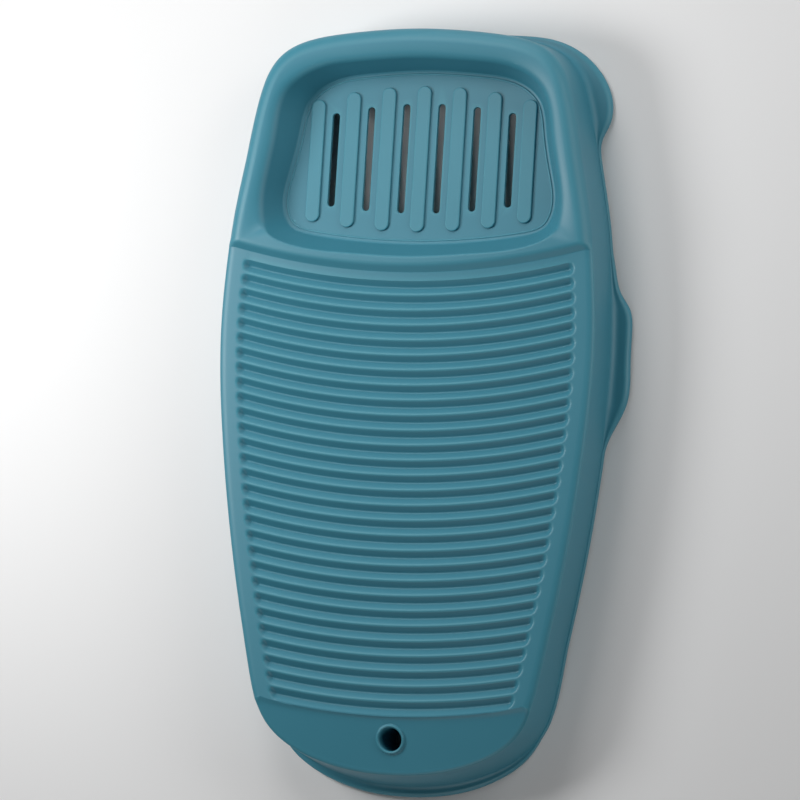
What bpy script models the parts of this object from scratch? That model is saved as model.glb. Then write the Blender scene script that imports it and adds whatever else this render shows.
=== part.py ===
"""Hand laundry washboard: an open-backed moulded shell with a ribbed scrubbing face, a soap tray with
drain slots, side grips, shoulder hooks and a hanging hole, standing on four rubber feet.

The board lies on its back: +Z is the way the scrubbing face looks, +Y runs up the board to the soap tray
and +X is the board's right. z = 0 is the plane under the feet, x = 0 the plane of symmetry.
Lengths below are millimetres; new_object turns them into metres.
"""

import math

import bmesh
import bpy
import numpy as np

MM = 0.001

# Heights above the plane under the feet
RIM_BOTTOM = 1.5  # underside of the back flange
FLANGE_TOP = 6.0
FLANGE_ROUND = 1.3
NARROW_FLANGE = 2.0  # a flange narrower than this merges into the wall
WALL_FOOT = 8.0  # where the side wall meets the flange
FACE = 45.5  # flat margins of the ribbed panel
TRAY_RISE = 3.5  # the block round the soap tray stands this far above the panel
TRAY_RIM = FACE + TRAY_RISE

# Walls
WALL = 2.6
PLATE = 2.8
HOLLOW_EDGE = 4.0  # bevel between wall and face inside the hollow
HOLLOW_FOOT = 3.0
EDGE_WIDTH = 8.0  # where the face turns down into the side wall
BLOCK_EDGE_DEPTH, PANEL_EDGE_DEPTH = 8.0, 3.6  # round the tray block, and beside the panel

# Right half of each outline, from the top of the board to its bottom end; the left half mirrors it
BODY = [
    (0, 250), (28, 248.9), (55, 246.2), (76, 242), (92, 234), (101, 223), (106.5, 209), (115.5, 165),
    (122, 130), (126, 95), (128.2, 60), (127.6, 20), (124.4, -19), (117.5, -74), (109.6, -121),
    (101, -164), (95.5, -187), (88, -204), (75, -217), (56, -226.8), (30, -233.8), (0, -236.2),
]
FLANGE = [
    (0, 251.4), (34, 250.4), (62, 249.4), (85, 246), (104.5, 235.6), (117.8, 220), (123, 204.5),
    (121.2, 191), (116.3, 180), (116.6, 168), (119.6, 146), (123.6, 122), (129, 96), (133, 81.5),
    (139.4, 71), (141.3, 56), (141, 36), (139.6, 10), (134, -3), (128, -15), (124.6, -28),
    (118.8, -74), (111, -121), (102.6, -165), (97.5, -189), (91, -207), (80.5, -223), (64, -235.5),
    (38, -246), (0, -250.5),
]
# Board height, and how far the wall spreads at its foot there
FOOT_FLARE = [(250, 0.8), (-150, 0.8), (-205, 3.5), (-236, 6.5)]

# Ribbed panel: grooves on arcs of one radius, stepped down the board
ARC_RADIUS = 465.0
GROOVE_COUNT = 29
GROOVE_PITCH = 9.757
GROOVE_FIRST = 80.3
GROOVE_DEPTH = 3.5
GROOVE_MARGIN = 12.9  # groove end to the side of the body
GROOVE_RUNOUT = 3.5
GROOVES_TOP = GROOVE_FIRST + GROOVE_PITCH / 2
LIP = GROOVE_FIRST - (GROOVE_COUNT - 0.5) * GROOVE_PITCH
PANEL_TOP = 89.9  # foot of the step up to the block round the tray
STEP_WIDTH = 5.9
STEP_CURVE = 2.3  # the step is steepest at its foot
CHIN_EASE = 1.5
CHIN_SLOPE = math.tan(math.radians(10))
CHIN_STEP = 1.2
BLOCK_ROWS, CHIN_ROWS = 20, 10  # rows of faces across the block round the tray, and across the chin
ROW_SEGMENTS = 8

# Soap tray
TRAY_FLOOR = [
    (0, 225.2), (38, 223), (65, 217.3), (79.5, 205.5), (85.7, 182), (91.2, 156), (93.8, 135.5),
    (88, 121.5), (72, 115.6), (40, 111.6), (0, 109.8),
]
TRAY_MOUTH = [
    (0, 231), (40, 228.8), (71, 223), (88.5, 209.5), (95.6, 182), (100.6, 154), (102.8, 132),
    (98.5, 116.5), (83, 108), (42, 102.4), (0, 100.4),
]
TRAY_SAMPLES = 25
FLOOR_ROUNDING = [(-1.5, 0.0), (0.6, 1.5)]  # outward from the floor's outline, and up
MOUTH_START = (0.75, 0.72)  # parts of the way out and up where the slope eases into the mouth
MOUTH_ROUNDING = [(0.0, -1.6), (1.2, -0.4), (3.0, 0.02), (3.0, 12.0)]  # outward, above the rim
TRAY_MIDDLE = 163.0
TRAY_FLOOR_HEIGHT = 24.6  # at the tray's middle; the floor falls towards the top end
TRAY_TILT = -0.07
BAR_SPACING = 24.4
BAR_WIDTH = 9.6
BAR_HEIGHT = 1.7
BAR_TOP, BAR_BOTTOM = 214.6, 118.0
SLOT_WIDTH = 4.8
SLOT_CUT = (11.0, 35.0)  # heights the slots are cut between
SLOT_TOP, SLOT_BOTTOM = 202.9, 130.3
TOP_ARC, BOTTOM_ARC = 297.0, 430.0

# Hanging hole and feet
HOLE_Y = -212.8
HOLE_RADIUS = 7.5
BEAD_RADIUS = 9.8
COLLAR_RADIUS = 9.4
BEAD_HEIGHT = 1.3
BEAD_ROOT = 1.2  # how far the bead reaches into the face
FEET = {"upper": (72, 231.5), "lower": (58, -205)}
PAD_RADIUS, PAD_HEIGHT = 8.0, 3.2
STEM_RADIUS, STEM_TOP = 2.5, 13.0
BOSS_RADIUS = 6.0
GAP = 0.3
WEB_THICKNESS = 2.2
WEB_BOTTOM = 10.0
WEB_TOP = 81.2  # the webs stop short of the tray
WEB_PITCH = 80.2
WEB_SIDE = 58.0
WEB_ENDS = (-245.0, 140.0)  # the webs run out into the walls, at most to this y and this x
CLEAR_BELOW, CLEAR_ABOVE = -5.0, 60.0  # heights outside the whole object, for what cuts through it


def clear_scene():
    for obj in list(bpy.data.objects):
        bpy.data.objects.remove(obj)


def plastic(name, color, roughness):
    material = bpy.data.materials.new(name)
    material.use_nodes = True
    shader = material.node_tree.nodes["Principled BSDF"]
    shader.inputs["Base Color"].default_value = (*color, 1)
    shader.inputs["Roughness"].default_value = roughness
    shader.inputs["Metallic"].default_value = 0
    return material


def new_object(name, points, faces, collection, material=None):
    mesh = bpy.data.meshes.new(name)
    mesh.from_pydata([tuple(MM * value for value in point) for point in points], [], faces)
    built = bmesh.new()
    built.from_mesh(mesh)
    bmesh.ops.recalc_face_normals(built, faces=built.faces)
    built.to_mesh(mesh)
    built.free()
    obj = bpy.data.objects.new(name, mesh)
    collection.objects.link(obj)
    if material:
        mesh.materials.append(material)
    else:
        obj.hide_render = True
        obj.display_type = "WIRE"
    return obj


def boolean(obj, other, operation):
    modifier = obj.modifiers.new(other.name, "BOOLEAN")
    modifier.operation = operation
    modifier.solver = "EXACT"
    modifier.object = other


def half_outline(half_points, samples=1500):
    """Smooth curve through the right half's points, crossing x = 0 square to it: (samples, 2)."""
    right = np.array(half_points, float)
    loop = np.vstack([right, right[-2:0:-1] * (-1, 1)])
    count = len(loop)
    step = np.linalg.norm(np.roll(loop, -1, 0) - loop, axis=1)
    before = np.roll(step, 1)
    system = np.zeros((count, count))
    slopes = (np.roll(loop, -1, 0) - loop) / step[:, None]
    for i in range(count):
        system[i, i - 1] = before[i]
        system[i, i] = 2 * (before[i] + step[i])
        system[i, (i + 1) % count] = step[i]
    bend = np.linalg.solve(system, 6 * (slopes - np.roll(slopes, 1, 0)))
    length = np.concatenate([[0], np.cumsum(step[: len(right) - 1])])
    at = np.linspace(0, length[-1], samples)
    span = np.clip(np.searchsorted(length, at, "right") - 1, 0, len(right) - 2)
    h = step[span][:, None]
    b = ((at - length[span]) / step[span])[:, None]
    a = 1 - b
    start, end = loop[span], loop[span + 1]
    return a * start + b * end + ((a**3 - a) * bend[span] + (b**3 - b) * bend[span + 1]) * h**2 / 6


def outward(curve):
    """Unit normals of a half outline that runs from the top to the bottom."""
    along = np.gradient(curve, axis=0)
    along /= np.linalg.norm(along, axis=1)[:, None]
    return np.column_stack([-along[:, 1], along[:, 0]])


def arc_height(points):
    """How high on the centre line the groove arc through a point crosses it."""
    return points[..., 1] - points[..., 0] ** 2 / (2 * ARC_RADIUS)


def face_height(height):
    """Height of the plain face, without grooves, on the arc that crosses the centre line at height."""
    part = np.clip((height - PANEL_TOP) / STEP_WIDTH, 0, 1)
    below = np.maximum(LIP - height, 0)
    chin = CHIN_STEP * (1 - np.exp(-below / CHIN_EASE)) + CHIN_SLOPE * below
    return FACE + TRAY_RISE * (1 - (1 - part) ** STEP_CURVE) - chin


def edge_depth(height):
    """Depth of the face's rounded edge on the arc that crosses the centre line at height."""
    return np.interp(height, (PANEL_TOP, PANEL_TOP + STEP_WIDTH), (PANEL_EDGE_DEPTH, BLOCK_EDGE_DEPTH))


def both_halves(right):
    """A closed ring from the points of the right half, whose first and last lie at x = 0."""
    left = right[-2:0:-1].copy()
    left[:, 0] *= -1
    return np.vstack([right, left])


def across(curve, targets):
    """Sample numbers along a half outline where its arc height reaches each target, falling."""
    return np.interp(-np.array(targets), -arc_height(curve), np.arange(len(curve)))


def sampled(curve, numbers):
    index = np.arange(len(curve))
    return np.column_stack([np.interp(numbers, index, curve[:, i]) for i in (0, 1)])


def reach(start, direction, curve):
    """Distance from each start, along its direction, to a half outline."""
    distances = []
    for point, normal in zip(start, direction):
        offset = curve - point
        side = offset[:, 0] * normal[1] - offset[:, 1] * normal[0]
        ahead = offset @ normal
        i = np.where((side[:-1] * side[1:] <= 0) & (np.abs(ahead[:-1]) < 30))[0][0]
        part = side[i] / (side[i] - side[i + 1]) if side[i] != side[i + 1] else 0
        distances.append(ahead[i] + part * (ahead[i + 1] - ahead[i]))
    return np.array(distances)


def ring(points, z):
    return both_halves(np.column_stack([points, np.broadcast_to(z, len(points))]))


def stacked(rings, rows, name, collection, material=None):
    """Solid from closed rings, lowest first, with a flat bottom and a top made of rows across it."""
    count = len(rings[0])
    points = [tuple(point) for level in rings for point in level]
    faces = [tuple(range(count))]
    for level in range(len(rings) - 1):
        faces += tube_faces(level * count, (level + 1) * count, count)
    top = (len(rings) - 1) * count
    last = count // 2
    numbered = [[top]]
    for j, row in enumerate(rows, 1):
        inner = list(range(len(points), len(points) + len(row)))
        points += [tuple(point) for point in row]
        numbered.append([top + count - j, *inner, top + j])
    numbered.append([top + last])
    for upper, lower in zip(numbered, numbered[1:]):
        if len(upper) == 1:
            faces += [(upper[0], lower[i + 1], lower[i]) for i in range(len(lower) - 1)]
        elif len(lower) == 1:
            faces += [(lower[0], upper[i], upper[i + 1]) for i in range(len(upper) - 1)]
        else:
            faces += [(upper[i], upper[i + 1], lower[i + 1], lower[i]) for i in range(len(upper) - 1)]
    return new_object(name, points, faces, collection, material)


def top_rows(edge, heights, z, valleys, inset):
    """The inner points of each row across a face whose edge lies inset from the body's side."""
    rows = []
    for half, height, level, valley in zip(edge[:, 0], heights, z, valleys):
        ends = max(half + inset - GROOVE_MARGIN, 0.8 * half)
        flat = max(ends - GROOVE_RUNOUT, 0.7 * half)
        x = np.concatenate([[-ends], np.linspace(-flat, flat, ROW_SEGMENTS + 1), [ends]])
        depth = np.where(np.abs(x) <= flat + 1e-6, GROOVE_DEPTH * valley, 0)
        rows.append(np.column_stack([x, height + x**2 / (2 * ARC_RADIUS), level - depth]))
    return rows


def row_numbers(edge):
    """Where the rows of faces meet a half outline, and which of the rows between are valleys."""
    step = [PANEL_TOP + STEP_WIDTH * part for part in (1, 0.6, 0.25, 0)]
    grooves = [GROOVES_TOP - i * GROOVE_PITCH / 2 for i in range(2 * GROOVE_COUNT + 1)]
    chin = [LIP - 1.5, LIP - 4]
    middle = across(edge, step + grooves + chin)
    numbers = np.concatenate([
        np.linspace(0, middle[0], BLOCK_ROWS, endpoint=False),
        middle,
        np.linspace(middle[-1], len(edge) - 1, CHIN_ROWS + 1)[1:],
    ])
    valley = np.zeros(len(numbers) - 2)
    first = BLOCK_ROWS - 1 + len(step)
    valley[first + 1 : first + len(grooves) : 2] = 1
    return numbers, valley


def board_blank(collection, material):
    """The outside of the shell, without its pocket: flange, side wall, rounded edge and ribbed face."""
    body = half_outline(BODY)
    normal = outward(body)
    numbers, valley = row_numbers(body - EDGE_WIDTH * normal)
    corner = sampled(body, numbers)
    away = sampled(normal, numbers)
    away /= np.linalg.norm(away, axis=1)[:, None]
    inner = corner - EDGE_WIDTH * away
    height = arc_height(inner)
    top = face_height(height)
    flare_at, flare = zip(*reversed(FOOT_FLARE))
    foot = corner + away * np.interp(corner[:, 1], flare_at, flare)[:, None]
    flange = corner + away * reach(corner, away, half_outline(FLANGE))[:, None]
    rounded = flange - FLANGE_ROUND * away
    wide = np.linalg.norm(flange - corner, axis=1)[:, None] > NARROW_FLANGE
    rings = [
        ring(flange, RIM_BOTTOM),
        ring(flange, FLANGE_TOP - FLANGE_ROUND),
        ring(rounded, FLANGE_TOP),
        ring(np.where(wide, foot, rounded), WALL_FOOT),
    ]
    for angle in (0, 45, 90):
        turn = math.radians(angle)
        inset = EDGE_WIDTH * (1 - math.cos(turn))
        rings.append(ring(corner - inset * away, top - edge_depth(height) * (1 - math.sin(turn))))
    rows = top_rows(inner[1:-1], height[1:-1], top[1:-1], valley, EDGE_WIDTH)
    return stacked(rings, rows, "washboard_shell", collection, material)


def cavity(collection):
    """The hollow behind the face, before the tray, webs and bosses are left standing in it."""
    body = half_outline(BODY)
    normal = outward(body)
    inner = body - WALL * normal
    inset = WALL + HOLLOW_EDGE
    numbers, valley = row_numbers(body - inset * normal)
    corner = sampled(inner, numbers)
    away = sampled(normal, numbers)
    away /= np.linalg.norm(away, axis=1)[:, None]
    flare_at, flare = zip(*reversed(FOOT_FLARE))
    foot = corner + away * np.interp(corner[:, 1], flare_at, flare)[:, None]
    ceiling = corner - HOLLOW_EDGE * away
    top = face_height(arc_height(ceiling)) - PLATE
    rings = [
        ring(foot, CLEAR_BELOW),
        ring(foot, RIM_BOTTOM + HOLLOW_FOOT),
        ring(corner, top - HOLLOW_EDGE),
        ring(ceiling, top),
    ]
    rows = top_rows(ceiling[1:-1], arc_height(ceiling[1:-1]), top[1:-1], valley, inset)
    return stacked(rings, rows, "shell_cavity", collection)


def tray_floor_height(y):
    return TRAY_FLOOR_HEIGHT + TRAY_TILT * (y - TRAY_MIDDLE)


def tray_form(name, spread, floor_drop, rim_profile, collection):
    """Solid with a tilted floor, sloping sides and a mouth; rim_profile is (outward, height)."""
    outlines = [half_outline(points) for points in (TRAY_FLOOR, TRAY_MOUTH)]
    numbers = np.linspace(0, len(outlines[0]) - 1, TRAY_SAMPLES)
    floor, mouth = (sampled(outline, numbers) for outline in outlines)
    away = mouth - floor
    away /= np.linalg.norm(away, axis=1)[:, None]
    away[[0, -1]] = [[0, 1], [0, -1]]
    floor, mouth = floor + spread * away, mouth + spread * away
    low = tray_floor_height(floor[:, 1]) - floor_drop
    rings = [ring(floor + out * away, low + up) for out, up in FLOOR_ROUNDING]
    rings.append(ring(floor + MOUTH_START[0] * (mouth - floor), low + MOUTH_START[1] * (TRAY_RIM - low)))
    rings += [ring(mouth + out * away, height) for out, height in rim_profile]
    count = len(rings[0])
    points = [tuple(point) for level in rings for point in level]
    faces = [tuple(range(count)), tuple(range(len(points) - count, len(points)))]
    for level in range(len(rings) - 1):
        faces += tube_faces(level * count, (level + 1) * count, count)
    return new_object(name, points, faces, collection)


def capsule(x, low, high, width, steps=6):
    """Outline of a bar or slot with round ends, along y."""
    radius = width / 2
    turns = [math.pi * i / steps for i in range(steps + 1)]
    upper = [(x + radius * math.cos(a), high - radius + radius * math.sin(a)) for a in turns]
    lower = [(x - radius * math.cos(a), low + radius - radius * math.sin(a)) for a in turns]
    return upper + lower


def circle(x, y, radius, steps=32):
    turns = [2 * math.pi * i / steps for i in range(steps)]
    return [(x + radius * math.cos(turn), y + radius * math.sin(turn)) for turn in turns]


def tube_faces(below, above, count):
    """Side faces between two closed rings of points, from their first point numbers."""
    faces = []
    for i in range(count):
        after = (i + 1) % count
        faces.append((below + i, below + after, above + after, above + i))
    return faces


def prisms(name, outlines, low, high, collection):
    """Upright prisms in one object; low and high are heights, or functions of y."""
    points, faces = [], []
    for outline in outlines:
        start, count = len(points), len(outline)
        for level in (low, high):
            points += [(x, y, level(y) if callable(level) else level) for x, y in outline]
        faces += [tuple(range(start, start + count)), tuple(range(start + count, start + 2 * count))]
        faces += tube_faces(start, start + count, count)
    return new_object(name, points, faces, collection)


def rectangle(x0, x1, y0, y1):
    return [(x0, y0), (x1, y0), (x1, y1), (x0, y1)]


def foot_places():
    for row, (x, y) in FEET.items():
        for side, sign in (("left", -1), ("right", 1)):
            yield f"foot_{row}_{side}", sign * x, y


def hollow_out(board, cutters):
    """Empties the blank from behind, leaving the tray, stiffening webs, foot bosses and hole collar."""
    hollow = cavity(cutters)
    boolean(hollow, tray_form("tray_jacket", WALL, WALL, [(0, TRAY_RIM)], cutters), "DIFFERENCE")
    half = WEB_THICKNESS / 2
    end, reach_x = WEB_ENDS
    lengthways = [rectangle(x - half, x + half, end, WEB_TOP + half) for x in (-WEB_SIDE, 0, WEB_SIDE)]
    webs = prisms("webs_lengthways", lengthways, WEB_BOTTOM, CLEAR_ABOVE, cutters)
    boolean(hollow, webs, "DIFFERENCE")
    heights = [WEB_TOP - i * WEB_PITCH for i in range(4)]
    crossways = [rectangle(-reach_x, reach_x, y - half, y + half) for y in heights]
    webs = prisms("webs_crossways", crossways, WEB_BOTTOM + 0.4, CLEAR_ABOVE + 1, cutters)
    boolean(hollow, webs, "DIFFERENCE")
    bosses = [circle(x, y, BOSS_RADIUS, 20) for _, x, y in foot_places()]
    standing = prisms("foot_bosses", bosses, PAD_HEIGHT + GAP, CLEAR_ABOVE + 2, cutters)
    boolean(hollow, standing, "DIFFERENCE")
    collar = [circle(0, HOLE_Y, COLLAR_RADIUS)]
    around_hole = prisms("hole_collar", collar, WEB_BOTTOM - 2, CLEAR_ABOVE + 3, cutters)
    boolean(hollow, around_hole, "DIFFERENCE")
    boolean(board, hollow, "DIFFERENCE")


def drain_floor(board, cutters):
    """Raised bars on the tray floor, and the slots between them."""
    bars = []
    for i in range(-3, 4):
        x = i * BAR_SPACING
        low, high = BAR_BOTTOM + x**2 / (2 * BOTTOM_ARC), BAR_TOP - x**2 / (2 * TOP_ARC)
        bars.append(capsule(x, low, high, BAR_WIDTH))
    slots = []
    for i in range(-3, 3):
        x = (i + 0.5) * BAR_SPACING
        low, high = SLOT_BOTTOM + x**2 / (2 * BOTTOM_ARC), SLOT_TOP - x**2 / (2 * TOP_ARC)
        slots.append(capsule(x, low, high, SLOT_WIDTH, 4))

    def bar_root(y):
        return tray_floor_height(y) - 1

    def bar_top(y):
        return tray_floor_height(y) + BAR_HEIGHT

    boolean(board, prisms("tray_bars", bars, bar_root, bar_top, cutters), "UNION")
    boolean(board, prisms("tray_slots", slots, *SLOT_CUT, cutters), "DIFFERENCE")


def hanging_hole(board, cutters):
    chin = float(face_height(HOLE_Y))

    def along_chin(offset):
        return lambda y: chin + CHIN_SLOPE * (y - HOLE_Y) + offset

    ring_round = [circle(0, HOLE_Y, BEAD_RADIUS)]
    bead = prisms("hole_bead", ring_round, along_chin(-BEAD_ROOT), along_chin(BEAD_HEIGHT), cutters)
    boolean(board, bead, "UNION")
    bore = prisms("hole_bore", [circle(0, HOLE_Y, HOLE_RADIUS)], CLEAR_BELOW, CLEAR_ABOVE, cutters)
    boolean(board, bore, "DIFFERENCE")


def washboard_shell(parts, cutters):
    board = board_blank(parts, plastic("teal_polypropylene", (0.10, 0.29, 0.34), 0.35))
    rim = [(out, TRAY_RIM + up) for out, up in MOUTH_ROUNDING]
    boolean(board, tray_form("tray_pocket", 0, 0, rim, cutters), "DIFFERENCE")
    hollow_out(board, cutters)
    drain_floor(board, cutters)
    hanging_hole(board, cutters)
    bores = [circle(x, y, STEM_RADIUS + GAP, 16) for _, x, y in foot_places()]
    boolean(board, prisms("foot_bores", bores, CLEAR_BELOW, STEM_TOP + GAP, cutters), "DIFFERENCE")


def feet(parts):
    """Turned rubber plugs: a pad with a rounded edge under a short stem."""
    rubber = plastic("dark_rubber", (0.05, 0.06, 0.065), 0.8)
    profile = [
        (0, STEM_TOP), (STEM_RADIUS - 0.6, STEM_TOP), (STEM_RADIUS, STEM_TOP - 1.2),
        (STEM_RADIUS, PAD_HEIGHT), (PAD_RADIUS - 0.4, PAD_HEIGHT), (PAD_RADIUS, PAD_HEIGHT - 0.8),
        (PAD_RADIUS, 0.9), (PAD_RADIUS - 0.9, 0), (0, 0),
    ]
    mesh = bpy.data.meshes.new("foot_profile")
    points = [(x * MM, 0, z * MM) for x, z in profile]
    mesh.from_pydata(points, [(i, i + 1) for i in range(len(profile) - 1)], [])
    mesh.materials.append(rubber)
    for name, x, y in foot_places():
        foot = bpy.data.objects.new(name, mesh)
        parts.objects.link(foot)
        foot.location = (x * MM, y * MM, 0)
        turn = foot.modifiers.new("turned", "SCREW")
        turn.steps = turn.render_steps = 24
        turn.use_merge_vertices = True
        turn.merge_threshold = 0.00005
        turn.use_smooth_shade = False


def main():
    clear_scene()
    parts = bpy.data.collections.new("washboard")
    cutters = bpy.data.collections.new("cutters")
    for collection in (parts, cutters):
        bpy.context.scene.collection.children.link(collection)
    washboard_shell(parts, cutters)
    feet(parts)


main()
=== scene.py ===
"""Looks of the hand laundry washboard: one smooth satin moulding on four rubber feet.

Lengths are millimetres in the board's own frame: +X to its right, +Y up to the soap tray, +Z out of the
scrubbing face. Object meshes are turned into metres when they are made.
"""

import math

import bmesh
import bpy
import numpy as np
from mathutils import Matrix, Vector


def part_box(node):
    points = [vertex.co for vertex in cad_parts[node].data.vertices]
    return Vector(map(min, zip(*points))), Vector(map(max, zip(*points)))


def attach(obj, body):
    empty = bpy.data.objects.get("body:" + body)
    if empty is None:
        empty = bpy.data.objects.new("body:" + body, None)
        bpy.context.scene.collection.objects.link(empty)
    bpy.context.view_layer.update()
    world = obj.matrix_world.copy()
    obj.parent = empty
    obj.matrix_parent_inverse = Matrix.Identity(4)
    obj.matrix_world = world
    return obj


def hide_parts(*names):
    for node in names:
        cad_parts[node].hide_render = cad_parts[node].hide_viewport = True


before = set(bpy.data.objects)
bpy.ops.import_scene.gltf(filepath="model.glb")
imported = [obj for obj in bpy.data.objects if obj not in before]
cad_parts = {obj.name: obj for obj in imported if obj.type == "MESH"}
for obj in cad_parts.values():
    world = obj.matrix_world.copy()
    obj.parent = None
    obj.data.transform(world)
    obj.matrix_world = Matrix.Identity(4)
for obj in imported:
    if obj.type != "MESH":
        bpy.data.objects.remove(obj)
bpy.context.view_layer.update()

MM = 0.001
SHELL_LOW, SHELL_HIGH = (np.array(corner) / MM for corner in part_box("washboard_shell"))

# Heights
RIM_BOTTOM = float(SHELL_LOW[2])
TRAY_RIM = float(SHELL_HIGH[2])
TRAY_RISE = 3.5
FACE = TRAY_RIM - TRAY_RISE

# Walls
WALL = 2.6
PLATE = 2.8
BLOCK_EDGE = (8.5, 8.0)  # width and depth of the rounded edge round the tray block
PANEL_EDGE = (5.5, 2.6)  # of the edge beside the ribbed panel
CHIN_EDGE = (3.2, 2.0)  # and of the edge round the chin
CHIN_BLEND = 4.0  # arc height over which the panel's edge turns into the chin's
THIN = 0.9  # least size of an edge inside the shell, and least spread of the flange

# Back flange: a hollow by the wall, a plateau and a rolled edge; parts of its spread, and largest sizes
FLANGE_TOP = 6.6
FLANGE_FALL = 0.05
HOLLOW_PART, HOLLOW_LARGEST = 0.5, 5.5
ROLL_PART, ROLL_LARGEST = 0.42, 3.8
RIM_CHAMFER = [(0.0, 0.5), (0.15, 0.15), (0.5, 0.0)]  # in from the flange's edge, up from its underside

# Right half of each outline, from the top of the board to its bottom end; the left half mirrors it
BODY = [
    (0, 250), (28, 248.9), (55, 246.2), (76, 242), (92, 234), (101, 223), (106.5, 209), (115.5, 165),
    (122, 130), (126, 95), (128.2, 60), (127.6, 20), (124.4, -19), (117.5, -74), (109.6, -121),
    (101, -164), (95.5, -187), (88, -204), (75, -217), (56, -226.8), (30, -233.8), (0, -236.2),
]
FLANGE = [
    (0, 251.4), (34, 250.4), (62, 249.4), (85, 246), (104.5, 235.6), (117.8, 220), (123, 204.5),
    (121.2, 191), (116.3, 180), (116.6, 168), (119.6, 146), (123.6, 122), (129, 96), (133, 81.5),
    (139.4, 71), (141.3, 56), (141, 36), (139.6, 10), (134, -3), (128, -15), (124.6, -28),
    (118.8, -74), (111, -121), (102.6, -165), (97.5, -189), (91, -207), (80.5, -223), (64, -235.5),
    (38, -246), (0, -250.5),
]
# Board height, and how far the wall spreads at its foot there
FOOT_FLARE = [(250, 0.8), (-150, 0.8), (-205, 3.5), (-236, 6.5)]
BLOCK_SAMPLES, CHIN_SAMPLES = 110, 60  # points along the edge of the tray block and of the chin

# Ribbed panel: V grooves on arcs of one radius, stepped down the board
ARC_RADIUS = 465.0
GROOVE_COUNT = 29
GROOVE_PITCH = 9.757
GROOVE_FIRST = 80.3
GROOVE_DEPTH = 3.5
GROOVE_HALF = 4.3  # valley to shoulder
GROOVE_MARGIN = 12.9  # groove end to the side of the body
GROOVE_OVERRUN = 0.8  # the rounded ends reach this far past the margin
GROOVES_TOP = GROOVE_FIRST + GROOVE_PITCH / 2
VALLEY_ROUND, SHOULDER_ROUND = 1.0, 0.35
GROOVE_ROWS = (0.4, 1.0, 2.4, 3.5, 4.2)  # rows of faces on each side of a valley
MIDDLE_COLUMNS = 20  # columns of faces in each half of a row, before the close ones at its end
END_COLUMNS = np.array([19.5, 17.6, 16.2, 15.2, 14.4, 13.6, 12.8, 12, 11])  # in from the body's side
PANEL_TOP = 89.9  # foot of the step up to the tray block
STEP_PROFILE = [(0, 0), (0.4, 0.12), (0.9, 0.45), (3.4, 2.3), (4.4, 2.9), (5.4, 3.28), (6.6, 3.5)]
STEP_WIDTH = STEP_PROFILE[-1][0]
LIP = GROOVE_FIRST - (GROOVE_COUNT - 0.5) * GROOVE_PITCH - 0.4
CHIN_SLOPE = math.tan(math.radians(10))
CHIN_STEP, CHIN_EASE = 1.2, 1.0  # depth of the step down at the lip, and how softly it ends

# Soap tray
TRAY_FLOOR = [
    (0, 225.2), (38, 223), (65, 217.3), (79.5, 205.5), (85.7, 182), (91.2, 156), (93.8, 135.5),
    (88, 121.5), (72, 115.6), (40, 111.6), (0, 109.8),
]
TRAY_MOUTH = [
    (0, 231), (40, 228.8), (71, 223), (88.5, 209.5), (95.6, 182), (100.6, 154), (102.8, 132),
    (98.5, 116.5), (83, 108), (42, 102.4), (0, 100.4),
]
TRAY_CENTRE = 165.0
TRAY_MIDDLE = 163.0
TRAY_FLOOR_HEIGHT = 24.6
TRAY_TILT = -0.07
MOUTH_ROUND, LOWER_MOUTH_ROUND = 4.2, 1.8
RIM_FALL = 3.0  # the rim falls this far from its crest to the mouth, except above the panel
CREST_FALL = 0.3  # part of that fall that is a straight slope; the rest steepens towards the mouth
LEAST_SHELF = 0.15  # least part of the rim that is left between its crest and the mouth's rounding
PANEL_SIDE, PANEL_BLEND = 0.25, 0.6  # how far downwards the rim has to face to count as above the panel
FLOOR_ROUND = 2.0
FLOOR_BEAD, BEAD_HALF = 0.5, 0.6  # height and half width of the fine bead round the floor
PAST_BEAD = [(1.6, 0.0), (2.6, 0.0)]  # flat rings inside the bead: distance in, and height
PLAIN_FLOOR = [(0.5, 0.0), (1.2, 0.0)]  # the same under the floor, which has no bead
BAR_SPACING = 24.4
BAR_WIDTH, BAR_HEIGHT = 9.6, 1.7
BAR_ROUND, BAR_ROOT = 0.8, 1.2  # edge radius, and depth of the bars' feet in the floor
BAR_TOP, BAR_BOTTOM = 214.6, 118.0
SLOT_WIDTH = 4.8
SLOT_TOP, SLOT_BOTTOM = 202.9, 130.3
SLOT_EDGE = [(0, -8), (0, -0.5), (-0.12, -0.15), (-0.5, 0.1), (-0.5, 1)]  # inset, height over the floor
TOP_ARC, BOTTOM_ARC = 297.0, 430.0

# Hanging hole
HOLE_Y = -212.8
HOLE_RADIUS = 7.6
BEAD_WIDTH, BEAD_HEIGHT = 2.2, 1.6
COLLAR_BOTTOM = 8.0
BORE_CHAMFER = 0.4
BEAD_FOOT = [(0.9, 0.0), (0.35, 0.06)]  # out from the bead, height over the chin
COLLAR_FOOT = [(0.3, -0.3), (0.0, -1.2)]  # the same for the collar, below the underside
BORE_START = -3.0  # the bore's first ring, below the chin
CHIN_PARTS = (0.02, 0.045, 0.08, 0.13, 0.2, 0.3, 0.42, 0.56, 0.7, 0.85, 1)  # rings, edge to hole

# Underside
WEB_THICKNESS = 2.2
WEB_BOTTOM, CROSS_WEB_BOTTOM = 10.0, 10.4
WALL_TOP = 34.0  # the webs meet the side walls up to here
WEB_SHOULDER = 3.0  # and meet the face plate from here inwards
WEB_TOP = 81.2
WEB_PITCH = 80.2
WEB_SIDE = 58.0
BOSS_RADIUS = 6.0
BOSS_BOTTOM, BOSS_CHAMFER = 3.5, 0.4
BOSS_INTO_FACE, BOSS_INTO_CHIN = 2.0, 1.4  # how far below the outside the bosses end
BORE_RADIUS, BORE_TOP = 2.8, 13.3  # for the stems of the feet


# ---------------------------------------------------------------- outlines

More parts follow.
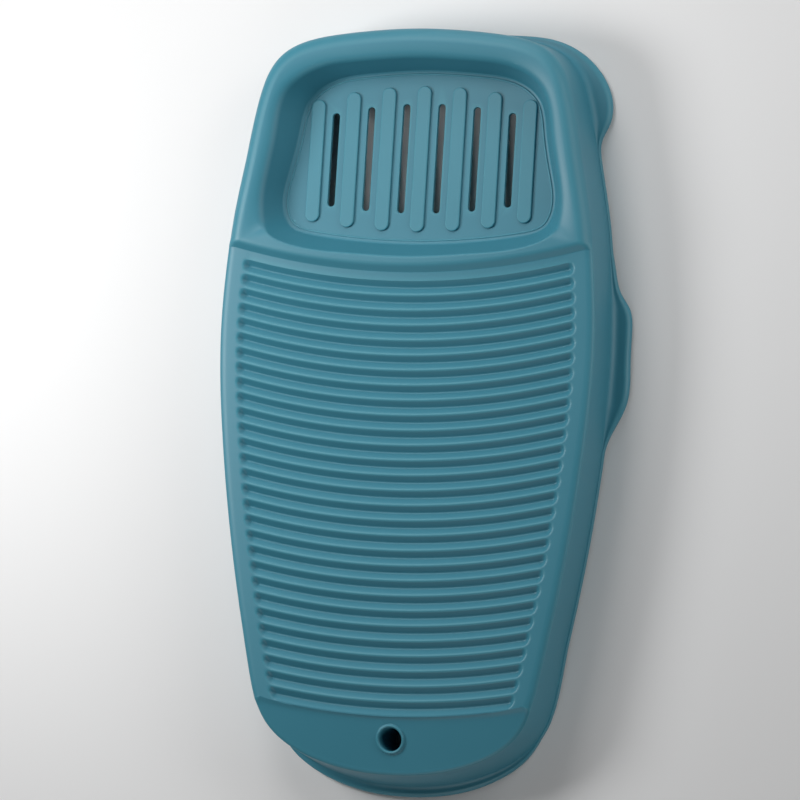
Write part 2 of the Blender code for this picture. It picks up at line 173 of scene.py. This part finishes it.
def half_outline(half_points, samples=3000):
    """Smooth curve through the right half's points, crossing x = 0 square to it: (samples, 2)."""
    right = np.array(half_points, float)
    loop = np.vstack([right, right[-2:0:-1] * (-1, 1)])
    count = len(loop)
    step = np.linalg.norm(np.roll(loop, -1, 0) - loop, axis=1)
    before = np.roll(step, 1)
    system = np.zeros((count, count))
    slopes = (np.roll(loop, -1, 0) - loop) / step[:, None]
    for i in range(count):
        system[i, i - 1] = before[i]
        system[i, i] = 2 * (before[i] + step[i])
        system[i, (i + 1) % count] = step[i]
    bend = np.linalg.solve(system, 6 * (slopes - np.roll(slopes, 1, 0)))
    length = np.concatenate([[0], np.cumsum(step[: len(right) - 1])])
    at = np.linspace(0, length[-1], samples)
    span = np.clip(np.searchsorted(length, at, "right") - 1, 0, len(right) - 2)
    h = step[span][:, None]
    b = ((at - length[span]) / step[span])[:, None]
    a = 1 - b
    start, end = loop[span], loop[span + 1]
    return a * start + b * end + ((a**3 - a) * bend[span] + (b**3 - b) * bend[span + 1]) * h**2 / 6


def outward(curve):
    """Unit normals of a half outline that runs from the top to the bottom."""
    along = np.gradient(curve, axis=0)
    along /= np.linalg.norm(along, axis=1)[:, None]
    return np.column_stack([-along[:, 1], along[:, 0]])


def sampled(curve, numbers):
    index = np.arange(len(curve))
    return np.column_stack([np.interp(numbers, index, curve[:, i]) for i in range(curve.shape[1])])


def arc_height(points):
    """How high on the centre line the groove arc through a point crosses it."""
    return points[..., 1] - points[..., 0] ** 2 / (2 * ARC_RADIUS)


def across(curve, targets):
    """Sample numbers along a half outline where its arc height reaches each target, falling."""
    return np.interp(-np.array(targets), -arc_height(curve), np.arange(len(curve)))


def reach(start, direction, curve):
    """Distance from each start, along its direction, to a half outline."""
    distances = []
    for point, normal in zip(start, direction):
        offset = curve - point
        side = offset[:, 0] * normal[1] - offset[:, 1] * normal[0]
        ahead = offset @ normal
        crossing = np.where((side[:-1] * side[1:] <= 0) & (np.abs(ahead[:-1]) < 30))[0]
        if len(crossing):
            i = crossing[0]
            part = side[i] / (side[i] - side[i + 1]) if side[i] != side[i + 1] else 0
            distances.append(ahead[i] + part * (ahead[i + 1] - ahead[i]))
        else:
            distances.append(ahead[np.argmin(np.abs(side))])
    return np.array(distances)


def smooth(value):
    value = np.clip(value, 0, 1)
    return value * value * (3 - 2 * value)


def unit(vectors):
    return vectors / np.maximum(np.linalg.norm(vectors, axis=-1), 1e-9)[..., None]


def both_halves(right):
    """A closed ring from the points of the right half, whose first and last lie at x = 0."""
    left = right[-2:0:-1].copy()
    left[:, 0] *= -1
    return np.vstack([right, left])


# ---------------------------------------------------------------- heights of the face

def face_height(height):
    """Height of the plain face, without grooves, on the arc that crosses the centre line at height."""
    below = np.maximum(LIP - height, 0)
    chin = CHIN_STEP * (1 - np.exp(-below / CHIN_EASE)) + CHIN_SLOPE * below
    along, rise = zip(*STEP_PROFILE)
    return FACE + np.interp(height - PANEL_TOP, along, rise) - chin


def edge_size(height):
    """Width and depth of the face's rounded edge on the arc that crosses the centre line at height."""
    block = smooth((height - PANEL_TOP) / STEP_WIDTH)
    chin = smooth((LIP - height) / CHIN_BLEND + 0.5)
    return [panel + block * (top - panel) + chin * (low - panel)
            for panel, top, low in zip(PANEL_EDGE, BLOCK_EDGE, CHIN_EDGE)]


def groove_depth(x, height, side):
    """Depth of the ribbed panel below the face; side is the body's half width on that arc."""
    nearest = np.clip(np.round((GROOVE_FIRST - height) / GROOVE_PITCH), 0, GROOVE_COUNT - 1)
    offset = height - (GROOVE_FIRST - nearest * GROOVE_PITCH)
    spine = side - GROOVE_MARGIN - GROOVE_HALF + GROOVE_OVERRUN
    beyond = np.maximum(np.abs(x) - spine, 0)
    distance = np.sqrt(offset**2 + beyond**2 + VALLEY_ROUND**2) - VALLEY_ROUND
    level = GROOVE_DEPTH * (1 - distance / (GROOVE_HALF - VALLEY_ROUND))
    return (level + np.sqrt(level**2 + SHOULDER_ROUND**2)) / 2


def tray_floor_height(y):
    return TRAY_FLOOR_HEIGHT + TRAY_TILT * (y - TRAY_MIDDLE)


# ---------------------------------------------------------------- mesh building

class Skin:
    """Collects points and faces, ring by ring."""

    def __init__(self):
        self.points = []
        self.faces = []

    def add(self, points):
        start = len(self.points)
        self.points.extend(map(tuple, points))
        return list(range(start, len(self.points)))

    def bridge(self, first, second):
        """Quads between two closed rings of the same length."""
        count = len(first)
        self.faces += [(first[i], first[(i + 1) % count], second[(i + 1) % count], second[i])
                       for i in range(count)]

    def strip(self, first, second):
        """Quads between two open rows of the same length."""
        self.faces += [(first[i], first[i + 1], second[i + 1], second[i]) for i in range(len(first) - 1)]

    def rings(self, rings, start=None):
        """Quads from one closed ring to the next; returns the last ring's point numbers."""
        last = start
        for points in rings:
            new = self.add(points)
            if last is not None:
                self.bridge(last, new)
            last = new
        return last


def new_object(name, points, faces):
    mesh = bpy.data.meshes.new(name)
    mesh.from_pydata([tuple(MM * value for value in point) for point in points], [], faces)
    built = bmesh.new()
    built.from_mesh(mesh)
    bmesh.ops.recalc_face_normals(built, faces=built.faces)
    built.to_mesh(mesh)
    built.free()
    obj = bpy.data.objects.new(name, mesh)
    bpy.context.scene.collection.objects.link(obj)
    return obj


def combine(obj, other, operation):
    """Applies a boolean to obj at once and removes the other object."""
    modifier = obj.modifiers.new("combine", "BOOLEAN")
    modifier.operation = operation
    modifier.solver = "EXACT"
    modifier.object = other
    applied = bpy.data.meshes.new_from_object(obj.evaluated_get(bpy.context.evaluated_depsgraph_get()))
    obj.modifiers.clear()
    obj.data = applied
    bpy.data.objects.remove(other)


# ---------------------------------------------------------------- the shell's two skins

def panel_heights():
    """Arc heights of the rows of faces down the ribbed panel, from the step's foot to the lip."""
    heights = [PANEL_TOP]
    for i in range(GROOVE_COUNT):
        valley = GROOVE_FIRST - i * GROOVE_PITCH
        heights += [valley + row for row in reversed(GROOVE_ROWS)]
        heights.append(valley)
        heights += [valley - row for row in GROOVE_ROWS]
        heights.append(valley - GROOVE_PITCH / 2)
    return heights


def ring_numbers(edge):
    """Where the rows of faces meet a half outline: (sample numbers, first panel row, last panel row)."""
    step = [PANEL_TOP + along for along, rise in reversed(STEP_PROFILE[1:])]
    middle = across(edge, step + panel_heights())
    block = np.linspace(0, middle[0], BLOCK_SAMPLES, endpoint=False)
    chin = np.linspace(middle[-1], len(edge) - 1, CHIN_SAMPLES)[1:]
    return np.concatenate([block, middle, chin]), len(block), len(block) + len(middle) - 1


def flange_section(spread):
    """Distances outward and heights down the foot of the wall and over the flange, for each spread."""
    hollow = np.minimum(HOLLOW_PART * spread, HOLLOW_LARGEST)
    roll = np.minimum(ROLL_PART * spread, ROLL_LARGEST)
    outer = FLANGE_TOP - FLANGE_FALL * (spread - hollow - roll)
    section = []
    for turn in np.radians(np.linspace(0, 90, 7)):
        section.append((hollow * (1 - np.cos(turn)), FLANGE_TOP + hollow * (1 - np.sin(turn))))
    for turn in np.radians(np.linspace(0, 90, 8)):
        section.append((spread - roll * (1 - np.sin(turn)), outer - roll * (1 - np.cos(turn))))
    section += [(spread - inset, RIM_BOTTOM + rise) for inset, rise in RIM_CHAMFER]
    return section


def ring(points, z):
    return both_halves(np.column_stack([points, np.broadcast_to(z, len(points))]))


def wall_rings(inside):
    """Rings of the side wall from the bottom to the face's edge, and what the face starts from.

    Returns the rings, the right half of the last one, the body's half width and the face's height
    at each of its points, and the numbers of the first and last point beside the ribbed panel.
    """
    body = half_outline(BODY)
    normal = outward(body)
    outline = body - WALL * normal if inside else body
    width = edge_size(arc_height(body))[0]
    edge = body - width[:, None] * normal
    numbers, first, last = ring_numbers(edge)
    corner = sampled(outline, numbers)
    away = unit(sampled(normal, numbers))
    away[0], away[-1] = (0, 1), (0, -1)
    height = arc_height(sampled(edge, numbers))
    thickness = WALL if inside else 0
    width, depth = (np.maximum(size - thickness, THIN) for size in edge_size(height))
    inner = corner - width[:, None] * away
    top = face_height(height) - (PLATE if inside else 0)
    flare_at, flare = zip(*reversed(FOOT_FLARE))
    flare = np.interp(corner[:, 1], flare_at, flare)
    rings = []
    if inside:
        foot = RIM_BOTTOM + 0.5
        rings.append(ring(corner + (flare + 0.4)[:, None] * away, RIM_BOTTOM))
        rings.append(ring(corner + flare[:, None] * away, foot))
    else:
        spread = reach(corner + flare[:, None] * away, away, half_outline(FLANGE))
        section = flange_section(np.maximum(spread, THIN))
        for out, z in reversed(section):
            rings.append(ring(corner + (flare + out)[:, None] * away, z))
        foot = section[0][1]
    wall_top = top - depth
    for part in (0.12, 0.3, 0.5, 0.7, 0.88):
        lean = (1 - part) * flare
        rings.append(ring(corner + lean[:, None] * away, foot + part * (wall_top - foot)))
    for turn in np.radians(np.linspace(0, 90, 9)):
        inset = width * (1 - math.cos(turn))
        rings.append(ring(corner - inset[:, None] * away, top - depth * (1 - math.sin(turn))))
    side = inner[:, 0] + width + thickness
    return rings, inner, side, top, first, last


def row_across(half, side, height, level):
    """Points across the face on one arc, left to right, without its two ends."""
    near_edge = side - END_COLUMNS
    middle = np.linspace(0, near_edge[0], MIDDLE_COLUMNS)[:-1]
    right = np.concatenate([middle, near_edge, [(near_edge[-1] + half) / 2]])
    x = np.concatenate([-right[:0:-1], right])
    depth = groove_depth(x, height, side) if height <= GROOVES_TOP else 0 * x
    return np.column_stack([x, height + x**2 / (2 * ARC_RADIUS), level - depth])


def tray_rings(outer, inside):
    """Rings from the block's edge over the tray's rim and down its wall to the floor."""
    mouth, floor = half_outline(TRAY_MOUTH), half_outline(TRAY_FLOOR)
    angle = np.arctan2(mouth[:, 0], mouth[:, 1] - TRAY_CENTRE)
    number = np.interp(np.arctan2(outer[:, 0], outer[:, 1] - TRAY_CENTRE), angle, np.arange(len(mouth)))
    normal = outward(mouth)
    thick = WALL if inside else 0
    away = unit(sampled(normal, number))
    away[0], away[-1] = (0, 1), (0, -1)
    mouth, floor = sampled(mouth, number) + thick * away, sampled(floor, number) + thick * away
    rim = TRAY_RIM - (PLATE if inside else 0)
    base = tray_floor_height(floor[:, 1]) - thick
    above_panel = smooth((-away[:, 1] - PANEL_SIDE) / PANEL_BLEND)
    fall = RIM_FALL * (1 - above_panel)
    rounding = (MOUTH_ROUND + above_panel * (LOWER_MOUTH_ROUND - MOUTH_ROUND)) * (0.5 if inside else 1)
    width = np.linalg.norm(outer - mouth, axis=1)
    flat_part = np.maximum(1 - rounding / width, LEAST_SHELF)

    def on_rim(part):
        height = rim - fall * (CREST_FALL * part + (1 - CREST_FALL) * part**2)
        return np.column_stack([outer + part[:, None] * (mouth - outer), height])

    start = on_rim(flat_part)
    slope_there = fall * (CREST_FALL + 2 * (1 - CREST_FALL) * flat_part)
    rim_corner = np.column_stack([mouth, start[:, 2] - slope_there * (1 - flat_part)])
    base_corner = np.column_stack([floor, base])
    slope = rim_corner - base_corner
    down = slope / np.linalg.norm(slope, axis=1)[:, None]
    flat = np.column_stack([away, np.zeros(len(away))])
    rings = [on_rim(part * flat_part) for part in (0.2, 0.4, 0.6, 0.8)]
    end = rim_corner - rounding[:, None] * down
    for part in np.linspace(0, 1, 9):
        rings.append((1 - part) ** 2 * start + 2 * part * (1 - part) * rim_corner + part**2 * end)
    start, end = base_corner + FLOOR_ROUND * down, base_corner - FLOOR_ROUND * flat
    rings.append((rings[-1] + start) / 2)
    for part in np.linspace(0, 1, 8):
        rings.append((1 - part) ** 2 * start + 2 * part * (1 - part) * base_corner + part**2 * end)
    shifts = PLAIN_FLOOR
    if not inside:
        turns = np.linspace(0, math.pi, 9)[1:]
        shifts = [(BEAD_HALF * (1 - math.cos(turn)), FLOOR_BEAD * math.sin(turn)) for turn in turns]
        shifts += PAST_BEAD
    for out, rise in shifts:
        flat_ring = end - out * flat
        flat_ring[:, 2] = tray_floor_height(flat_ring[:, 1]) - thick + rise
        rings.append(flat_ring)
    return [both_halves(points) for points in rings]


def chin_rings(outer, inside):
    """Rings from the chin's outer edge to the hanging hole and down its bore or collar."""
    even = np.linspace(0, math.pi, len(outer))
    lowered = PLATE if inside else 0
    bead = HOLE_RADIUS + BEAD_WIDTH
    rings = []

    def circle(radius, rise=0.0, height=None):
        points = np.column_stack([np.sin(even) * radius, HOLE_Y + np.cos(even) * radius])
        z = face_height(arc_height(points)) - lowered + rise
        return np.column_stack([points, z if height is None else np.full(len(points), height)])

    last = circle(bead + BEAD_FOOT[0][0])[:, :2]
    for part in CHIN_PARTS:
        points = outer + part * (last - outer)
        rings.append(np.column_stack([points, face_height(arc_height(points)) - lowered]))
    if inside:
        above = COLLAR_BOTTOM + BORE_CHAMFER
        rings += [circle(bead + out, rise) for out, rise in COLLAR_FOOT]
        rings.append(circle(bead, height=above))
        rings.append(circle(bead - BORE_CHAMFER, height=COLLAR_BOTTOM))
        rings.append(circle(HOLE_RADIUS + BORE_CHAMFER, height=COLLAR_BOTTOM))
        rings.append(circle(HOLE_RADIUS, height=above))
    else:
        rings += [circle(bead + out, rise) for out, rise in BEAD_FOOT[1:]]
        for turn in np.radians(np.linspace(12, 180, 12)):
            radius = HOLE_RADIUS + BEAD_WIDTH / 2 * (1 + math.cos(turn))
            rings.append(circle(radius, BEAD_HEIGHT * math.sin(turn)))
        rings.append(circle(HOLE_RADIUS, BORE_START))
    return [both_halves(points) for points in rings]


def build_skin(skin, inside):
    """One skin of the shell; returns its bottom ring and the ring in the hanging hole."""
    rings, inner, side, top, first, last = wall_rings(inside)
    bottom = skin.add(rings[0])
    edge = skin.rings(rings[1:], bottom)
    count = len(edge)
    rows = []
    for i in range(first, last + 1):
        points = row_across(inner[i, 0], side[i], float(arc_height(inner[i])), top[i])
        rows.append([edge[count - i], *skin.add(points), edge[i]])
    for upper, lower in zip(rows, rows[1:]):
        skin.strip(upper, lower)
    middle = len(rows[0]) // 2

    def whole(right, left):
        return right + left[-2:0:-1]

    block = edge[: first + 1] + rows[0][-2:middle - 1:-1]
    block_left = [edge[-i] for i in range(first + 1)] + rows[0][1 : middle + 1]
    block_points = np.array([skin.points[i] for i in block])[:, :2]
    floor = skin.rings(tray_rings(block_points, inside), whole(block, block_left))
    skin.faces.append(tuple(floor))
    chin = rows[-1][middle:] + edge[last + 1 : count // 2 + 1]
    chin_left = rows[-1][middle::-1] + [edge[count - i] for i in range(last + 1, count // 2 + 1)]
    chin_points = np.array([skin.points[i] for i in chin])[:, :2]
    hole = skin.rings(chin_rings(chin_points, inside), whole(chin, chin_left))
    return bottom, hole


# ---------------------------------------------------------------- webs, bosses, bars and slots

def prism(skin, outline, levels):
    """A closed body: the outline at each level, which is (inset, height function)."""
    centre = np.mean(outline, axis=0)
    outline = np.array(outline, float)
    along = unit(np.roll(outline, -1, 0) - np.roll(outline, 1, 0))
    inward = np.column_stack([-along[:, 1], along[:, 0]])
    if np.sum(inward * (centre - outline)) < 0:
        inward = -inward
    last = None
    for inset, height in levels:
        points = outline + inset * inward
        ring_now = skin.add([(x, y, height(y)) for x, y in points])
        if last is None:
            skin.faces.append(tuple(ring_now))
        else:
            skin.bridge(last, ring_now)
        last = ring_now
    skin.faces.append(tuple(last))


def level(z):
    return lambda y: z


def above_floor(rise):
    return lambda y: tray_floor_height(y) + rise


def capsule(x, low, high, width, steps=12):
    """Outline of a bar or slot with round ends, along y."""
    radius = width / 2
    turns = np.linspace(0, math.pi, steps + 1)
    upper = [(x + radius * math.cos(a), high - radius + radius * math.sin(a)) for a in turns]
    lower = [(x - radius * math.cos(a), low + radius - radius * math.sin(a)) for a in turns]
    return upper + lower


def circle_outline(x, y, radius, steps=48):
    turns = np.linspace(0, 2 * math.pi, steps, endpoint=False)
    return [(x + radius * math.cos(a), y + radius * math.sin(a)) for a in turns]


def bars():
    """The raised bars on the tray floor."""
    skin = Skin()
    shoulder = BAR_HEIGHT - BAR_ROUND
    levels = [(0, above_floor(-BAR_ROOT)), (0, above_floor(shoulder))]
    for turn in np.radians((25, 50, 75, 90)):
        rise, inset = BAR_ROUND * math.sin(turn), BAR_ROUND * (1 - math.cos(turn))
        levels.append((inset, above_floor(shoulder + rise)))
    for i in range(-3, 4):
        x = i * BAR_SPACING
        low, high = BAR_BOTTOM + x**2 / (2 * BOTTOM_ARC), BAR_TOP - x**2 / (2 * TOP_ARC)
        prism(skin, capsule(x, low, high, BAR_WIDTH), levels)
    return new_object("bars", skin.points, skin.faces)


def slots():
    """What is cut away for the drain slots between the bars."""
    skin = Skin()
    levels = [(inset, above_floor(rise)) for inset, rise in SLOT_EDGE]
    for i in range(-3, 3):
        x = (i + 0.5) * BAR_SPACING
        low, high = SLOT_BOTTOM + x**2 / (2 * BOTTOM_ARC), SLOT_TOP - x**2 / (2 * TOP_ARC)
        prism(skin, capsule(x, low, high, SLOT_WIDTH), levels)
    return new_object("slots", skin.points, skin.faces)


def wall_middle(z):
    """Half outline of the middle of the side wall at height z."""
    body = half_outline(BODY)
    normal = outward(body)
    flare_at, flare = zip(*reversed(FOOT_FLARE))
    flare = np.interp(body[:, 1], flare_at, flare)
    part = (z - RIM_BOTTOM) / (WALL_TOP - RIM_BOTTOM)
    return body + ((1 - part) * flare - WALL / 2)[:, None] * normal


def plate(skin, profile, low, high, along_x):
    """A flat web: profile is its outline as (along, height); low and high bound its thickness."""
    sides = []
    for offset in (low, high):
        sides.append(skin.add([(a, offset, z) if along_x else (offset, a, z) for a, z in profile]))
    skin.bridge(*sides)
    skin.faces += [tuple(sides[0]), tuple(sides[1])]


def mid_plate(x, y):
    """Height of the middle of the face plate above each point."""
    body = half_outline(BODY)
    heights = y - x**2 / (2 * ARC_RADIUS)
    sides = np.interp(-heights, -arc_height(body), body[:, 0])
    depths = np.where(heights <= GROOVES_TOP, groove_depth(x, heights, sides), 0)
    return face_height(heights) - depths - PLATE / 2


def webs_along():
    """Stiffening webs that run down the board; the middle one ends at the hanging hole's collar."""
    skin = Skin()
    half = WEB_THICKNESS / 2
    top = WEB_TOP + half
    collar = HOLE_Y + HOLE_RADIUS + BEAD_WIDTH / 2
    lower = [curve[len(curve) // 2:] for curve in (wall_middle(WEB_BOTTOM), wall_middle(WALL_TOP))]
    for x in (-WEB_SIDE, 0, WEB_SIDE):
        if x == 0:
            profile = [(top, WEB_BOTTOM), (collar, WEB_BOTTOM)]
            y = np.arange(collar, top)
        else:
            low, high = (np.interp(-abs(x), -curve[:, 0], curve[:, 1]) for curve in lower)
            profile = [(top, WEB_BOTTOM), (low, WEB_BOTTOM), (high, WALL_TOP - 1)]
            y = np.arange(high + WEB_SHOULDER, top)
        y = np.append(y, top)
        profile += list(zip(y, mid_plate(np.full(len(y), float(x)), y)))
        plate(skin, profile, x - half, x + half, False)
    return new_object("webs_along", skin.points, skin.faces)


def webs_across():
    """Stiffening webs from one side wall to the other."""
    skin = Skin()
    half = WEB_THICKNESS / 2
    curves = wall_middle(CROSS_WEB_BOTTOM), wall_middle(WALL_TOP)
    for i in range(4):
        y = WEB_TOP - i * WEB_PITCH
        low, high = (float(np.interp(-y, -curve[:, 1], curve[:, 0])) for curve in curves)
        x = np.linspace(high - WEB_SHOULDER, WEB_SHOULDER - high, 201)
        foot, wall = CROSS_WEB_BOTTOM, WALL_TOP
        profile = [(-high, wall), (-low, foot), (low, foot), (high, wall)]
        profile += list(zip(x, mid_plate(x, np.full(len(x), y))))
        plate(skin, profile, y - half, y + half, True)
    return new_object("webs_across", skin.points, skin.faces)


def foot_nodes():
    return sorted(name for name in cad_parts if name.startswith("foot_"))


def foot_places():
    for node in foot_nodes():
        low, high = (np.array(corner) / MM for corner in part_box(node))
        yield ((low + high) / 2)[:2]


def bosses():
    """Posts that hold the feet, down from the face plate."""
    skin = Skin()
    for x, y in foot_places():
        chin_top = float(face_height(arc_height(np.array([x, y])))) - BOSS_INTO_CHIN
        top = TRAY_RIM - BOSS_INTO_FACE if y > 0 else chin_top
        levels = [(BOSS_CHAMFER, BOSS_BOTTOM), (0, BOSS_BOTTOM + BOSS_CHAMFER), (0, top)]
        prism(skin, circle_outline(x, y, BOSS_RADIUS), [(inset, level(z)) for inset, z in levels])
    return new_object("bosses", skin.points, skin.faces)


def bores():
    """What is cut away for the stems of the feet."""
    skin = Skin()
    for x, y in foot_places():
        prism(skin, circle_outline(x, y, BORE_RADIUS), [(0, level(0)), (0, level(BORE_TOP))])
    return new_object("bores", skin.points, skin.faces)


def shell():
    skin = Skin()
    outer_bottom, outer_hole = build_skin(skin, False)
    inner_bottom, inner_hole = build_skin(skin, True)
    skin.bridge(outer_bottom, inner_bottom)
    skin.bridge(outer_hole, inner_hole)
    obj = new_object("washboard_moulding", skin.points, skin.faces)
    combine(obj, bars(), "UNION")
    combine(obj, slots(), "DIFFERENCE")
    combine(obj, webs_along(), "UNION")
    combine(obj, webs_across(), "UNION")
    combine(obj, bosses(), "UNION")
    combine(obj, bores(), "DIFFERENCE")
    obj.data.shade_smooth()
    obj.data.set_sharp_from_angle(angle=math.radians(32))
    weighted = obj.modifiers.new("flat faces stay flat", "WEIGHTED_NORMAL")
    weighted.keep_sharp = True
    return obj


# ---------------------------------------------------------------- materials

def teal_plastic():
    material = bpy.data.materials.new("teal_plastic_detail")
    material.use_nodes = True
    nodes, links = material.node_tree.nodes, material.node_tree.links
    shader = nodes["Principled BSDF"]
    place = nodes.new("ShaderNodeTexCoord")
    cloud = nodes.new("ShaderNodeTexNoise")
    cloud.inputs["Scale"].default_value = 14
    cloud.inputs["Detail"].default_value = 4
    links.new(place.outputs["Object"], cloud.inputs["Vector"])
    tint = nodes.new("ShaderNodeMix")
    tint.data_type = "RGBA"
    tint.inputs["A"].default_value = (0.034, 0.183, 0.250, 1)
    tint.inputs["B"].default_value = (0.039, 0.201, 0.272, 1)
    links.new(cloud.outputs["Fac"], tint.inputs["Factor"])
    # Convex edges, found by pointiness, get a lighter teal: a painted highlight along crests, rims and
    # edges
    shape = nodes.new("ShaderNodeNewGeometry")
    convex = nodes.new("ShaderNodeMapRange")
    convex.inputs["From Min"].default_value = 0.505
    convex.inputs["From Max"].default_value = 0.56
    links.new(shape.outputs["Pointiness"], convex.inputs["Value"])
    painted_edge_highlight = nodes.new("ShaderNodeMix")
    painted_edge_highlight.data_type = "RGBA"
    painted_edge_highlight.inputs["B"].default_value = (0.06, 0.27, 0.34, 1)
    links.new(convex.outputs["Result"], painted_edge_highlight.inputs["Factor"])
    links.new(tint.outputs["Result"], painted_edge_highlight.inputs["A"])
    links.new(painted_edge_highlight.outputs["Result"], shader.inputs["Base Color"])
    rough = nodes.new("ShaderNodeMapRange")
    rough.inputs["To Min"].default_value = 0.42
    rough.inputs["To Max"].default_value = 0.52
    links.new(cloud.outputs["Fac"], rough.inputs["Value"])
    links.new(rough.outputs["Result"], shader.inputs["Roughness"])
    grain = nodes.new("ShaderNodeTexNoise")
    grain.inputs["Scale"].default_value = 1500
    grain.inputs["Detail"].default_value = 2
    links.new(place.outputs["Object"], grain.inputs["Vector"])
    bump = nodes.new("ShaderNodeBump")
    bump.inputs["Strength"].default_value = 0.12
    bump.inputs["Distance"].default_value = 0.0002
    links.new(grain.outputs["Fac"], bump.inputs["Height"])
    links.new(bump.outputs["Normal"], shader.inputs["Normal"])
    shader.inputs["IOR"].default_value = 1.49
    return material


def foot_rubber():
    material = bpy.data.materials.new("foot_rubber_detail")
    material.use_nodes = True
    nodes, links = material.node_tree.nodes, material.node_tree.links
    shader = nodes["Principled BSDF"]
    shader.inputs["Base Color"].default_value = (0.05, 0.058, 0.062, 1)
    place = nodes.new("ShaderNodeTexCoord")
    grain = nodes.new("ShaderNodeTexNoise")
    grain.inputs["Scale"].default_value = 900
    links.new(place.outputs["Object"], grain.inputs["Vector"])
    bump = nodes.new("ShaderNodeBump")
    bump.inputs["Strength"].default_value = 0.3
    bump.inputs["Distance"].default_value = 0.0002
    links.new(grain.outputs["Fac"], bump.inputs["Height"])
    links.new(bump.outputs["Normal"], shader.inputs["Normal"])
    rough = nodes.new("ShaderNodeMapRange")
    rough.inputs["To Min"].default_value = 0.7
    rough.inputs["To Max"].default_value = 0.9
    links.new(grain.outputs["Fac"], rough.inputs["Value"])
    links.new(rough.outputs["Result"], shader.inputs["Roughness"])
    return material


# ---------------------------------------------------------------- studio

def area_light(name, place, aim, size, watts):
    light = bpy.data.lights.new(name, "AREA")
    light.shape = "DISK"
    light.size = size
    light.energy = watts
    obj = bpy.data.objects.new(name, light)
    bpy.context.scene.collection.objects.link(obj)
    obj.location = place
    obj.rotation_euler = (Vector(aim) - Vector(place)).to_track_quat("-Z", "Y").to_euler()


def studio():
    bpy.context.scene.view_settings.view_transform = "Standard"
    world = bpy.data.worlds.new("studio")
    bpy.context.scene.world = world
    world.use_nodes = True
    background = world.node_tree.nodes["Background"]
    background.inputs["Color"].default_value = (0.92, 0.95, 1, 1)
    background.inputs["Strength"].default_value = 0.02
    mesh = bpy.data.meshes.new("floor")
    side = 6
    corners = [(-side, -side, 0), (side, -side, 0), (side, side, 0), (-side, side, 0)]
    mesh.from_pydata(corners, [], [(0, 1, 2, 3)])
    floor = bpy.data.objects.new("floor", mesh)
    bpy.context.scene.collection.objects.link(floor)
    pale = bpy.data.materials.new("floor_pale")
    pale.use_nodes = True
    shader = pale.node_tree.nodes["Principled BSDF"]
    shader.inputs["Base Color"].default_value = (0.75, 0.75, 0.75, 1)
    shader.inputs["Roughness"].default_value = 0.9
    mesh.materials.append(pale)
    middle = (0, 0, 0)
    area_light("key", (-0.5, 0.1, 0.5), middle, 0.3, 3.5)
    area_light("high key", (-0.12, 0.45, 0.55), middle, 0.3, 1.4)
    area_light("right", (1.1, 0.1, 0.35), (0.1, 0, 0), 0.7, 3.3)
    area_light("upper right", (0.8, 0.6, 0.6), middle, 0.6, 2.4)
    area_light("top end", (0, 1.1, 0.45), middle, 0.6, 3.0)
    area_light("bottom end", (0, -1, 0.5), middle, 0.6, 2.0)


# The camera looks down on the lying board: turned about the board's height, tipped and rolled
TURN, TIP, ROLL = math.radians(19.300), math.radians(3.001), math.radians(-2.171)
LENS, SENSOR = 225.0, 36.0
DISTANCE = 3240.25
AIM_SHIFT = (-0.745, 45.25)  # the aim point in camera axes, mm
BOARD_MIDDLE = 38.30


def camera():
    turn = Matrix(((math.cos(TURN), 0, -math.sin(TURN)), (0, 1, 0), (math.sin(TURN), 0, math.cos(TURN))))
    tip = Matrix(((1, 0, 0), (0, math.cos(TIP), math.sin(TIP)), (0, -math.sin(TIP), math.cos(TIP))))
    roll = Matrix(((math.cos(ROLL), -math.sin(ROLL), 0), (math.sin(ROLL), math.cos(ROLL), 0), (0, 0, 1)))
    to_camera = roll @ tip @ turn
    place = -(to_camera.transposed() @ Vector((AIM_SHIFT[0], -AIM_SHIFT[1], -DISTANCE)))
    place -= Vector((0, BOARD_MIDDLE, -FACE))
    data = bpy.data.cameras.new("camera")
    data.lens = LENS
    data.sensor_width = SENSOR
    obj = bpy.data.objects.new("camera", data)
    bpy.context.scene.collection.objects.link(obj)
    obj.matrix_world = Matrix.Translation(place * MM) @ to_camera.transposed().to_4x4()
    bpy.context.scene.camera = obj


# ---------------------------------------------------------------- the pieces

def main():
    moulding = shell()
    moulding.data.materials.clear()
    moulding.data.materials.append(teal_plastic())
    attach(moulding, "root")
    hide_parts("washboard_shell")
    rubber = foot_rubber()
    for node in foot_nodes():
        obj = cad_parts[node]
        for slot in obj.material_slots:
            slot.material = rubber
    studio()
    camera()


main()
